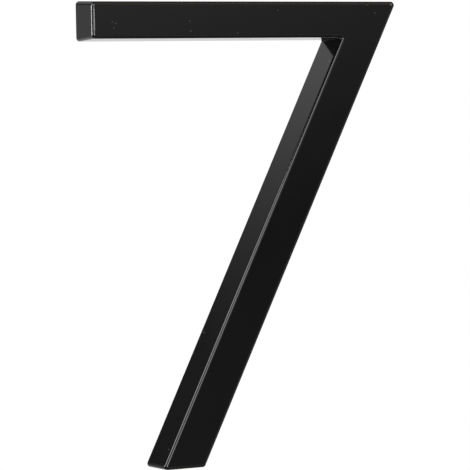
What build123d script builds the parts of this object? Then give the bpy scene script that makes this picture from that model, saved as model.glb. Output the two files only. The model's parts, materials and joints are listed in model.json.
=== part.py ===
"""House number seven, cast in one piece, that stands off a wall on two studs.

Millimetres. The numeral is upright as it hangs: X to the right, +Y into the wall, Z up.
The origin is halfway between the two stud holes, in the plane of the rear rim.
"""

import math
import os

from build123d import *

# Outline, measured at the rear rim
numeral_height = 127.0
numeral_width = 91.9
bar_height = 10.8
leg_thickness = 12.1
foot_reach = 31.0  # from the bar's left end across to the foot's right corner
casting_depth = 11.5

# Casting
wall = 2.0
front_wall = 2.4
draft_angle = 2.5

# Edges and corners
front_edge_radius = 0.9
corner_extra = 0.1  # the outline's corners are this much rounder than the front edge
inner_corner_radius = 0.3
rim_edge_radius = 0.3
core_corner_radius = 1.3
core_floor_radius = 0.6

# Stud bosses: M4 holes at their tapping size, one above the other
stud_spacing = 100.0
stud_hole_radius = 1.65
stud_hole_depth = 8.0
boss_radius = 4.4

# The leg leans from the foot's right corner up to the tip
lean = math.atan((numeral_width - foot_reach) / numeral_height)
leg_span = leg_thickness / math.cos(lean)

# The upper stud is on the bar's middle line, the lower one below it on the leg's middle line
upper_stud_up = numeral_height - bar_height / 2
lower_stud_up = upper_stud_up - stud_spacing
stud_across = foot_reach - leg_span / 2 + lower_stud_up * math.tan(lean)
studs_middle_up = upper_stud_up - stud_spacing / 2
stud_places = [(0, stud_spacing / 2), (0, -stud_spacing / 2)]


def place(across, up):
    """Turn a point measured from the bar's left end and the foot into the part's frame."""
    return (across - stud_across, up - studs_middle_up)


bar_underside_up = numeral_height - bar_height
inner_corner = place(foot_reach - leg_span + bar_underside_up * math.tan(lean), bar_underside_up)
outline_points = [
    place(0, numeral_height),
    place(numeral_width, numeral_height),
    place(foot_reach, 0),
    place(foot_reach - leg_span, 0),
    inner_corner,
    place(0, bar_underside_up),
]

with BuildPart() as numeral:
    # Outer form, drawn at the rear rim and drafted towards the front
    with BuildSketch(Plane.XZ):
        with BuildLine():
            Polyline(*outline_points, close=True)
        make_face()
    extrude(amount=casting_depth, taper=draft_angle)
    inner_edge_middle = (inner_corner[0], -casting_depth / 2, inner_corner[1])
    corner_edges = numeral.edges().group_by(Axis.Y)[1].sort_by_distance(inner_edge_middle)
    fillet(corner_edges[1:], radius=front_edge_radius + corner_extra)
    fillet(numeral.edges().sort_by_distance(inner_edge_middle)[0], radius=inner_corner_radius)
    front_face = numeral.faces().sort_by(Axis.Y)[0]
    fillet(front_face.edges(), radius=front_edge_radius)
    rear_face = numeral.faces().sort_by(Axis.Y)[-1]
    fillet(rear_face.edges(), radius=rim_edge_radius)

    # Hollow in the back, with the same wall all round
    with BuildSketch(Plane.XZ) as core:
        with BuildLine():
            Polyline(*outline_points, close=True)
        make_face()
        offset(amount=-wall, kind=Kind.INTERSECTION)
        fillet(core.vertices(), radius=core_corner_radius)
    extrude(amount=casting_depth - front_wall, taper=draft_angle, mode=Mode.SUBTRACT)
    core_floor = numeral.faces().filter_by(Axis.Y).sort_by(Axis.Y)[1]
    fillet(core_floor.edges(), radius=core_floor_radius)

    # Bosses from the hollow's floor up to the rim
    with BuildSketch(Plane.XZ):
        with Locations(*stud_places):
            Circle(boss_radius)
    extrude(amount=casting_depth - front_wall / 2)

    # Blind stud holes, open at the rim
    with Locations(*[Plane(origin=(x, 0, z), z_dir=(0, 1, 0)) for x, z in stud_places]):
        Hole(radius=stud_hole_radius, depth=stud_hole_depth)

numeral.part.label = "numeral"

os.makedirs("parts", exist_ok=True)
export_step(numeral.part, "parts/numeral.step")
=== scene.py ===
"""Looks for the cast house number seven: a satin black powder coat, studio light and a camera.

Metres, in the part's own frame: X to the right, +Y into the wall, Z up, origin between the stud holes.
"""

import json
import math

import bmesh
import bpy
from mathutils import Euler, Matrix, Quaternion, Vector


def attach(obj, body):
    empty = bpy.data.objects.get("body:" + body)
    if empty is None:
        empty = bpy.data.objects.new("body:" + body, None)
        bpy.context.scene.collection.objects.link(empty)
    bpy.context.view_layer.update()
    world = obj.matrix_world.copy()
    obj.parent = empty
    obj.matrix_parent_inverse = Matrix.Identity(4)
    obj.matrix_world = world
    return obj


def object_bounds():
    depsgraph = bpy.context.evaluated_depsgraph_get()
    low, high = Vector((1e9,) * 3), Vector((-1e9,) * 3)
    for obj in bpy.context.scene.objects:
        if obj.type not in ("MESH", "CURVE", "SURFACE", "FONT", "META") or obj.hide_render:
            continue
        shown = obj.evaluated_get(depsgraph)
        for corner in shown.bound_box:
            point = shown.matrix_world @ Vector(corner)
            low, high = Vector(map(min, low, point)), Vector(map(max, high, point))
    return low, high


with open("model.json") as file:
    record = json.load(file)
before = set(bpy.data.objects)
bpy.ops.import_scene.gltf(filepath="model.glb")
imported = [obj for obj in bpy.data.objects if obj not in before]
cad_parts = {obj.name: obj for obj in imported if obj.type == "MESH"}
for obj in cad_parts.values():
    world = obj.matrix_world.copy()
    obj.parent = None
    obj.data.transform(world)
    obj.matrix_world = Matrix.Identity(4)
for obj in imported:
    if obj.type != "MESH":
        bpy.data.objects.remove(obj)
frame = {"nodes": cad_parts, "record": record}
cad_low, cad_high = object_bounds()
numeral = frame["nodes"]["numeral"]
studs = next(mount for mount in frame["record"]["mounts"] if mount["name"] == "wall_studs")
scene = bpy.context.scene

# The photograph's frame and the camera that took it
IMAGE_SIDE = 470
SENSOR = 36.0
LENS = 181.8
CAMERA_PLACE = Vector((-0.25720, -0.59892, 0.02925))
CAMERA_TURN = Euler((math.radians(86.661), math.radians(0.951), math.radians(-24.184)))

# Floor, well below the number
FLOOR_DROP = 0.60
FLOOR_RADIUS = 0.60
FLOOR_FADE_RADIUS = 0.12  # from here it fades into the white, out to its rim
FLOOR_SIDES = 96

# Light over the camera: degrees above the horizon where it starts to be warm, and where it is warmest
WARM_START = 10
WARM_FULL = 45
WHITE_LIGHT = (1, 1, 1)
WARM_LIGHT = (1, 0.84, 0.72)

# Most values of a noise texture lie between these two
NOISE_LOW = 0.3
NOISE_HIGH = 0.7

# How far surfaces face into the wall: outer walls stay below the first value, the back above the second
OUTER_FACING = -0.03
BACK_FACING = -0.01

# M4 thread in the stud holes
BORE_RADIUS = studs["dims"]["hole_r_mm"] / 1000
STUD_RISE = studs["dims"]["spacing_y_mm"] / 2000
THREAD_PITCH = 0.0007
THREAD_TURNS = 9
THREAD_START = 0.0006  # below the rim
THREAD_HEIGHT = 0.0002
THREAD_SUNK = 0.00004  # how far the ridge is set into the bore's wall
FOOT_HALF_WIDTH = 0.45  # of the ridge, in pitches
CREST_HALF_WIDTH = 0.1
RIDGE_MIDDLE = 0.5  # below the start, in pitches
STEPS_PER_TURN = 28

# Spots on the coat, by where their middles are in the photograph, in pixels from its corner; the light
# spot at the tip is a painted highlight
RUBBED_AND_HIGHLIGHT_PIXELS = [(391, 4.5), (329, 61)]
GRAIN_PIXELS = [
    (112.5, 22), (116, 23.5), (114, 28), (190, 21), (191, 31), (238, 33),
    (278, 10.5), (367.5, 5), (375, 13), (204, 332.5), (168.5, 449.5),
]
RUBBED_AND_HIGHLIGHT_RADIUS = 0.00034
GRAIN_RADIUS = 0.00027
SPOT_HEIGHT = 0.0001
SPOT_SUNK = 0.000005
SPOT_RINGS = 5
SPOT_SPOKES = 12


def direction(azimuth, elevation):
    """Unit vector for an azimuth from +Y towards -X and an elevation above the horizon, in degrees."""
    turn = math.radians(azimuth)
    rise = math.radians(elevation)
    return Vector((-math.sin(turn) * math.cos(rise), math.cos(turn) * math.cos(rise), math.sin(rise)))


def new_material(name):
    """A node material, its node tree and its Principled shader."""
    material = bpy.data.materials.new(name)
    material.use_nodes = True
    return material, material.node_tree, material.node_tree.nodes["Principled BSDF"]


def add_node(tree, kind, inputs=(), **settings):
    """Add a node, set its properties, and link or set its inputs, given as (input, socket or value)."""
    node = tree.nodes.new(kind)
    for key, value in settings.items():
        setattr(node, key, value)
    for name, value in inputs:
        if isinstance(value, bpy.types.NodeSocket):
            tree.links.new(value, node.inputs[name])
        else:
            node.inputs[name].default_value = value
    return node


def map_range(tree, value, low, high, to_low=0.0, to_high=1.0, shape="LINEAR"):
    """Map a value from low..high to to_low..to_high, held at the ends."""
    inputs = [
        ("Value", value),
        ("From Min", low),
        ("From Max", high),
        ("To Min", to_low),
        ("To Max", to_high),
    ]
    return add_node(tree, "ShaderNodeMapRange", inputs, interpolation_type=shape).outputs["Result"]


def noise(tree, place, scale, detail):
    """Cloudy values at a place, finer with a larger scale."""
    node = add_node(tree, "ShaderNodeTexNoise", [("Vector", place), ("Scale", scale), ("Detail", detail)])
    return node.outputs["Fac"]


def vary(tree, clouds, low, high):
    """A number between low and high that follows noise."""
    return map_range(tree, clouds, NOISE_LOW, NOISE_HIGH, low, high)


def ramp(tree, value, first, last, start=NOISE_LOW, end=NOISE_HIGH):
    """A colour that goes from first to last while a value goes from start to end."""
    node = add_node(tree, "ShaderNodeValToRGB", [("Fac", value)])
    for stop, position, colour in zip(node.color_ramp.elements, (start, end), (first, last)):
        stop.position = position
        stop.color = (*colour, 1)
    return node.outputs["Color"]


def powder_coat():
    """Satin black powder coat with a faint orange peel, thinner and dull in the back, where it is also
    painted lighter as a stand-in for fill light.
    """
    material, tree, shader = new_material("black_powder_coat")
    coordinates = add_node(tree, "ShaderNodeTexCoord").outputs
    clouds = noise(tree, coordinates["Object"], scale=60.0, detail=3.0)
    black = ramp(tree, clouds, (0.0043, 0.0043, 0.0044), (0.0050, 0.0050, 0.0050))
    # In the back a lighter grey: a thinner coat, and painted fill light for the unlit back
    thin_coat_and_painted_fill = ramp(tree, clouds, (0.014, 0.014, 0.014), (0.030, 0.030, 0.031))
    satin = vary(tree, clouds, 0.115, 0.135)
    dull = vary(tree, clouds, 0.40, 0.55)

    facing = add_node(tree, "ShaderNodeSeparateXYZ", [("Vector", coordinates["Normal"])]).outputs["Y"]
    back = map_range(tree, facing, OUTER_FACING, BACK_FACING)
    colour = add_node(tree, "ShaderNodeMixRGB", [("Fac", back), ("Color1", black), ("Color2", thin_coat_and_painted_fill)])
    roughness = add_node(tree, "ShaderNodeMix", [("Factor", back), ("A", satin), ("B", dull)])
    peel = noise(tree, coordinates["Object"], scale=700.0, detail=1.0)
    bump = add_node(tree, "ShaderNodeBump", [("Height", peel), ("Strength", 0.03), ("Distance", 0.00001)])
    tree.links.new(colour.outputs["Color"], shader.inputs["Base Color"])
    tree.links.new(roughness.outputs["Result"], shader.inputs["Roughness"])
    tree.links.new(bump.outputs["Normal"], shader.inputs["Normal"])
    return material


def dust_and_highlight_grey(name, dark, light):
    """Matt grey in a small spot on the coat, a little different from spot to spot; used for dust, rubbed
    coat and a painted highlight.
    """
    material, tree, shader = new_material(name)
    place = add_node(tree, "ShaderNodeTexCoord").outputs["Object"]
    specks = noise(tree, place, scale=900.0, detail=2.0)
    grey = ramp(tree, specks, (dark, dark, dark), (light, light, light))
    tree.links.new(grey, shader.inputs["Base Color"])
    tree.links.new(vary(tree, specks, 0.5, 0.7), shader.inputs["Roughness"])
    return material


def bare_zinc():
    """Zinc alloy where the tap has cut it: bright, with fine cutting marks."""
    material, tree, shader = new_material("bare_zinc")
    place = add_node(tree, "ShaderNodeTexCoord").outputs["Object"]
    marks = noise(tree, place, scale=4000.0, detail=2.0)
    grey = ramp(tree, marks, (0.42, 0.43, 0.44), (0.60, 0.61, 0.62), start=0.0, end=1.0)
    tree.links.new(grey, shader.inputs["Base Color"])
    tree.links.new(vary(tree, marks, 0.25, 0.45), shader.inputs["Roughness"])
    shader.inputs["Metallic"].default_value = 1.0
    return material


def calculate(tree, operation, *values):
    """The result of one operation on its values."""
    return add_node(tree, "ShaderNodeMath", enumerate(values), operation=operation).outputs[0]


def total(tree, operation, values):
    """All values added or multiplied together, as the operation says."""
    result = values[0]
    for value in values[1:]:
        result = calculate(tree, operation, result, value)
    return result


def ray_angles(tree):
    """A ray's degrees to the left of +Y, to the right of -Y, and above the horizon."""
    ray = add_node(tree, "ShaderNodeTexCoord").outputs["Generated"]
    split = add_node(tree, "ShaderNodeSeparateXYZ", [("Vector", ray)]).outputs
    minus_x = calculate(tree, "MULTIPLY", split["X"], -1.0)
    minus_y = calculate(tree, "MULTIPLY", split["Y"], -1.0)
    left_of_back = calculate(tree, "DEGREES", calculate(tree, "ARCTAN2", minus_x, split["Y"]))
    right_of_front = calculate(tree, "DEGREES", calculate(tree, "ARCTAN2", split["X"], minus_y))
    height = calculate(tree, "DEGREES", calculate(tree, "ARCSINE", split["Z"]))
    return left_of_back, right_of_front, height


def studio_world():
    """White to the camera; in reflections a white backdrop behind the number in a dim, softly lit room."""
    world = bpy.data.worlds.new("studio")
    world.use_nodes = True
    scene.world = world
    tree = world.node_tree
    background = tree.nodes["Background"]
    left_of_back, right_of_front, height = ray_angles(tree)

    def patch(level, across, *edges):
        """Light with four soft edges: the degrees across, then up, where each is dark and where light."""
        parts = []
        for value, (dark, light) in zip((across, across, height, height), edges):
            parts.append(map_range(tree, value, dark, light, shape="SMOOTHSTEP"))
        return total(tree, "MULTIPLY", parts + [level])

    backdrop = patch(1.0, left_of_back, (-42, -28), (35, 6), (-34, -20), (11, 3))
    over_camera = patch(1.0, right_of_front, (-60, -35), (115, 55), (8, 20), (120, 100))
    lights = [
        # High behind on the left, for the leg's wall
        patch(1.18, left_of_back, (-5, 15), (37, 19), (15.2, 30), (80, 60)),
        # A low band from the left round to the front, for the bar's face
        patch(0.60, right_of_front, (-125, -95), (42, 14), (-3.5, 5), (20, 8)),
        # High over the camera, for the upper edges
        calculate(tree, "MULTIPLY", over_camera, 0.60),
        # Low on the right, for the right edges
        patch(0.30, right_of_front, (30, 50), (130, 100), (-45, -25), (20, 0)),
        # Faint and below the camera, for the lower part of the leg's face
        patch(0.07, right_of_front, (-60, -30), (60, 35), (-60, -30), (-2.5, -6)),
        # Further down, for the bar's lower edge
        patch(0.30, right_of_front, (-60, -30), (60, 35), (-46, -30), (-8, -15)),
        # A little from everywhere
        0.04,
    ]
    path = add_node(tree, "ShaderNodeLightPath").outputs
    mirrored = calculate(tree, "MAXIMUM", path["Is Glossy Ray"], path["Is Transmission Ray"])
    shown = calculate(tree, "MULTIPLY", mirrored, backdrop)
    white = calculate(tree, "MAXIMUM", path["Is Camera Ray"], shown)
    room = total(tree, "ADD", lights)
    strength = add_node(tree, "ShaderNodeMix", [("Factor", white), ("A", room), ("B", 1.0)])
    tree.links.new(strength.outputs["Result"], background.inputs["Strength"])
    unseen = calculate(tree, "SUBTRACT", 1.0, path["Is Camera Ray"])
    high = map_range(tree, height, WARM_START, WARM_FULL)
    warmth = total(tree, "MULTIPLY", [unseen, over_camera, high])
    tint = ramp(tree, warmth, WHITE_LIGHT, WARM_LIGHT, start=0.0, end=1.0)
    tree.links.new(tint, background.inputs["Color"])


def softbox(name, azimuth, elevation, distance, width, height, radiance, lean=0.0):
    """A rectangular lamp that faces the number, leaning to one side by some degrees."""
    lamp = bpy.data.lights.new(name, "AREA")
    lamp.shape = "RECTANGLE"
    lamp.size = width
    lamp.size_y = height
    lamp.energy = radiance * math.pi * width * height
    box = bpy.data.objects.new(name, lamp)
    scene.collection.objects.link(box)
    towards = direction(azimuth, elevation)
    turn = towards.to_track_quat("Z", "Y") @ Quaternion((0, 0, 1), math.radians(lean))
    box.location = (cad_low + cad_high) / 2 + towards * distance
    box.rotation_euler = turn.to_euler()


def pale_floor():
    """A plain pale floor that fades into the white towards its rim."""
    mesh = bpy.data.meshes.new("floor")
    builder = bmesh.new()
    bmesh.ops.create_circle(builder, cap_ends=True, segments=FLOOR_SIDES, radius=FLOOR_RADIUS)
    builder.to_mesh(mesh)
    builder.free()
    floor = bpy.data.objects.new("floor", mesh)
    floor.location = (0, 0, cad_low.z - FLOOR_DROP)
    scene.collection.objects.link(floor)
    material, tree, shader = new_material("pale_floor")
    shader.inputs["Base Color"].default_value = (0.7, 0.7, 0.69, 1)
    shader.inputs["Roughness"].default_value = 0.7
    place = add_node(tree, "ShaderNodeTexCoord").outputs["Object"]
    away = add_node(tree, "ShaderNodeVectorMath", [(0, place)], operation="LENGTH").outputs["Value"]
    here = map_range(tree, away, FLOOR_RADIUS, FLOOR_FADE_RADIUS, shape="SMOOTHSTEP")
    tree.links.new(here, shader.inputs["Alpha"])
    mesh.materials.append(material)


def photograph_camera():
    """The camera at the photograph's place, angle and field of view."""
    data = bpy.data.cameras.new("camera")
    data.sensor_width = SENSOR
    data.lens = LENS
    data.clip_start = 0.01
    data.clip_end = 20.0
    camera = bpy.data.objects.new("camera", data)
    camera.location = CAMERA_PLACE
    camera.rotation_euler = CAMERA_TURN
    scene.collection.objects.link(camera)
    scene.camera = camera


def add_piece(name, builder, material):
    """Turn a bmesh into a smooth piece that rides with the number."""
    for face in builder.faces:
        face.smooth = True
    mesh = bpy.data.meshes.new(name)
    builder.to_mesh(mesh)
    builder.free()
    mesh.materials.append(material)
    piece = bpy.data.objects.new(name, mesh)
    scene.collection.objects.link(piece)
    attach(piece, "root")


def stud_thread(name, rise, material):
    """The ridge of an internal thread, winding into a stud hole at a height above the origin."""
    foot = BORE_RADIUS + THREAD_SUNK
    crest = BORE_RADIUS - THREAD_HEIGHT
    profile = [
        (foot, -FOOT_HALF_WIDTH),
        (crest, -CREST_HALF_WIDTH),
        (crest, CREST_HALF_WIDTH),
        (foot, FOOT_HALF_WIDTH),
    ]
    builder = bmesh.new()
    rows = []
    for step in range(THREAD_TURNS * STEPS_PER_TURN + 1):
        turns = step / STEPS_PER_TURN
        angle = 2 * math.pi * turns
        row = []
        for radius, across in profile:
            depth = THREAD_START + (turns + across + RIDGE_MIDDLE) * THREAD_PITCH
            place = (radius * math.cos(angle), -depth, rise + radius * math.sin(angle))
            row.append(builder.verts.new(place))
        rows.append(row)
    for row, following in zip(rows, rows[1:]):
        for i in range(len(profile)):
            j = (i + 1) % len(profile)
            builder.faces.new((row[i], row[j], following[j], following[i]))
    builder.faces.new(rows[0])
    builder.faces.new(rows[-1])
    bmesh.ops.recalc_face_normals(builder, faces=builder.faces)
    add_piece(name, builder, material)


def seen_point(pixel):
    """Where the camera's ray through a pixel meets the number, and the surface's normal there."""
    across, down = (value / IMAGE_SIDE - 0.5 for value in pixel)
    ray = CAMERA_TURN.to_matrix() @ Vector((across * SENSOR, -down * SENSOR, -LENS))
    return numeral.ray_cast(CAMERA_PLACE, ray.normalized())[1:3]


def coat_spots(name, pixels, radius, material):
    """Small bell-shaped bumps that follow the number's surface at places in the photograph."""
    builder = bmesh.new()
    for pixel in pixels:
        point, normal = seen_point(pixel)
        turn = normal.to_track_quat("Z", "Y")
        rings = []
        for ring in range(1, SPOT_RINGS + 1):
            part = ring / SPOT_RINGS
            height = SPOT_HEIGHT * (1 + math.cos(math.pi * part)) / 2 - SPOT_SUNK
            row = []
            for spoke in range(SPOT_SPOKES):
                angle = 2 * math.pi * spoke / SPOT_SPOKES
                beside = point + turn @ Vector((math.cos(angle), math.sin(angle), 0)) * part * radius
                foot, up = numeral.closest_point_on_mesh(beside)[1:3]
                row.append(builder.verts.new(foot + up * height))
            rings.append(row)
        top = builder.verts.new(point + normal * (SPOT_HEIGHT - SPOT_SUNK))
        for i in range(SPOT_SPOKES):
            j = (i + 1) % SPOT_SPOKES
            builder.faces.new((top, rings[0][i], rings[0][j]))
            for inner, outer in zip(rings, rings[1:]):
                builder.faces.new((inner[i], outer[i], outer[j], inner[j]))
        builder.faces.new(rings[-1])
    bmesh.ops.recalc_face_normals(builder, faces=builder.faces)
    add_piece(name, builder, material)


scene.view_settings.view_transform = "Standard"
photograph_camera()
studio_world()
pale_floor()
softbox(
    "low_left_softbox",
    azimuth=54.0, elevation=1.0, distance=0.9, width=0.34, height=0.26, radiance=12.0,
)
softbox(
    "high_left_softbox",
    azimuth=77.0, elevation=26.0, distance=0.9, width=0.28, height=0.60, radiance=7.4, lean=-45.0,
)
softbox(
    "camera_side_softbox",
    azimuth=149.0, elevation=16.0, distance=1.0, width=0.50, height=0.75, radiance=4.0,
)
softbox(
    "low_camera_side_softbox",
    azimuth=147.0, elevation=0.0, distance=1.0, width=0.60, height=0.22, radiance=4.4,
)

coat = powder_coat()
zinc = bare_zinc()
numeral.data.materials.clear()
numeral.data.materials.append(coat)
coat_spots("coat_grains", GRAIN_PIXELS, GRAIN_RADIUS, dust_and_highlight_grey("coated_dust", dark=0.020, light=0.036))
# Light grey spots: at the tip a painted highlight of the rounded corner, on the leg's wall a light speck
# in the coat
coat_spots("rubbed_and_highlight_spots", RUBBED_AND_HIGHLIGHT_PIXELS, RUBBED_AND_HIGHLIGHT_RADIUS, dust_and_highlight_grey("rubbed_coat_and_painted_highlight", dark=0.11, light=0.16))
stud_thread("upper_stud_thread", STUD_RISE, zinc)
stud_thread("lower_stud_thread", -STUD_RISE, zinc)
